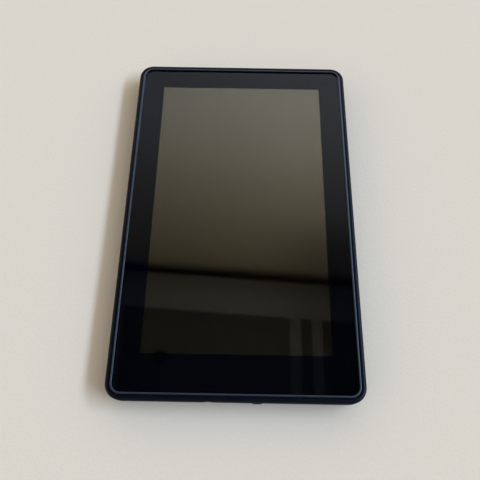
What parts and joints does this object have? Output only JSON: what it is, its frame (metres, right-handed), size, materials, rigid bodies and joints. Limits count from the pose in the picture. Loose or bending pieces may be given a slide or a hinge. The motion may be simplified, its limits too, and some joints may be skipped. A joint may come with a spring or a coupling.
{
  "type": "e-reader tablet",
  "caption": "Slim hand-held colour reader: glass-fronted touch screen in a black lip and wrap-round rear cover, with charging socket, headphone jack, power button and edge speakers.",
  "frame": {"origin": "middle of the flat back, which lies on the surface", "axes": "+X right as the reader looks at the screen, +Y up the page towards the speaker edge, +Z out of the screen"},
  "size_m": [0.12, 0.1904, 0.0114],
  "materials": {
    "soft_touch_shell": "navy-black soft-touch coating, fine grain",
    "frame_plastic": "satin black moulding",
    "cover_glass": "polished, clear",
    "border_ink": "black printed border",
    "touch_film": "clear conductive film",
    "flex_circuit": "amber polyimide with copper tracks",
    "chip_epoxy": "black moulded package",
    "foam_tape": "black double-sided tape",
    "gasket_foam": "closed-cell foam",
    "dark_polariser": "dark olive film, glossy",
    "lcd_glass": "panel glass",
    "white_film": "white diffuser",
    "clear_acrylic": "clear moulded guide",
    "led_strip": "white strip with yellow phosphor",
    "tray_steel": "zinc-plated sheet",
    "plate_magnesium": "cast light alloy",
    "screw_steel": "dark nickel plate",
    "battery_pouch": "laminated foil pouch",
    "paper_tape": "pale adhesive strip",
    "green_board": "green solder mask",
    "wire_jacket": "red silicone insulation",
    "cable_jacket": "black insulation",
    "cream_connector": "cream moulded nylon",
    "black_connector": "black moulded nylon",
    "ferrite": "dark ferrite",
    "shield_tin": "tinned sheet",
    "capacitor_ceramic": "tan ceramic, tinned ends",
    "socket_steel": "nickel-plated shell",
    "gilt_brass": "gold flash",
    "button_plastic": "glossy black cap",
    "speaker_plastic": "black moulding",
    "speaker_paper": "brown film cone",
    "magnet_nickel": "nickel-plated magnet",
    "mesh_cloth": "fine black acoustic cloth",
    "aerial_plastic": "pale moulded carrier",
    "aerial_copper": "etched copper foil"
  },
  "bodies": {
    "device": {"rear_cover": "soft_touch_shell", "front_frame": "frame_plastic", "cover_glass": "cover_glass", "border_mask": "border_ink", "touch_sensor": "touch_film", "touch_flex": "flex_circuit", "touch_controller": "chip_epoxy", "glass_tape": "foam_tape", "display_gasket": "gasket_foam", "upper_polariser": "dark_polariser", "lcd_panel": "lcd_glass", "diffuser_films": "white_film", "light_guide": "clear_acrylic", "backlight_leds": "led_strip", "lcd_tray": "tray_steel", "lcd_flex": "flex_circuit", "mid_plate": "plate_magnesium", "chassis_screws": "screw_steel", "battery_cell": "battery_pouch", "battery_tape": "paper_tape", "protection_board": "green_board", "battery_leads": "wire_jacket", "battery_plug": "cream_connector", "battery_socket": "cream_connector", "main_board": "green_board", "board_screws": "screw_steel", "processor": "chip_epoxy", "flash_memory": "chip_epoxy", "power_manager": "chip_epoxy", "power_coils": "ferrite", "audio_codec": "chip_epoxy", "display_transmitter": "chip_epoxy", "wireless_module": "shield_tin", "processor_shield": "shield_tin", "power_shield": "shield_tin", "lcd_socket": "cream_connector", "touch_socket": "cream_connector", "board_capacitors": "capacitor_ceramic", "usb_shell": "socket_steel", "usb_tongue": "black_connector", "headphone_jack": "black_connector", "jack_contacts": "gilt_brass", "switch_body": "black_connector", "speaker_left": "speaker_plastic", "speaker_right": "speaker_plastic", "speaker_diaphragms": "speaker_paper", "speaker_magnets": "magnet_nickel", "speaker_gaskets": "gasket_foam", "speaker_meshes": "mesh_cloth", "speaker_leads": "wire_jacket", "antenna_carrier": "aerial_plastic", "antenna_foil": "aerial_copper", "antenna_cable": "cable_jacket"},
    "button": {"power_button": "button_plastic", "switch_plunger": "cream_connector"}
  },
  "joints": [
    {"name": "power_press", "type": "slide", "parent": "device", "child": "button", "axis": [0, 1, 0], "range_m": [0, 0.0003], "stiffness_N_per_m": 3000, "springref_m": -0.0002}
  ]
}
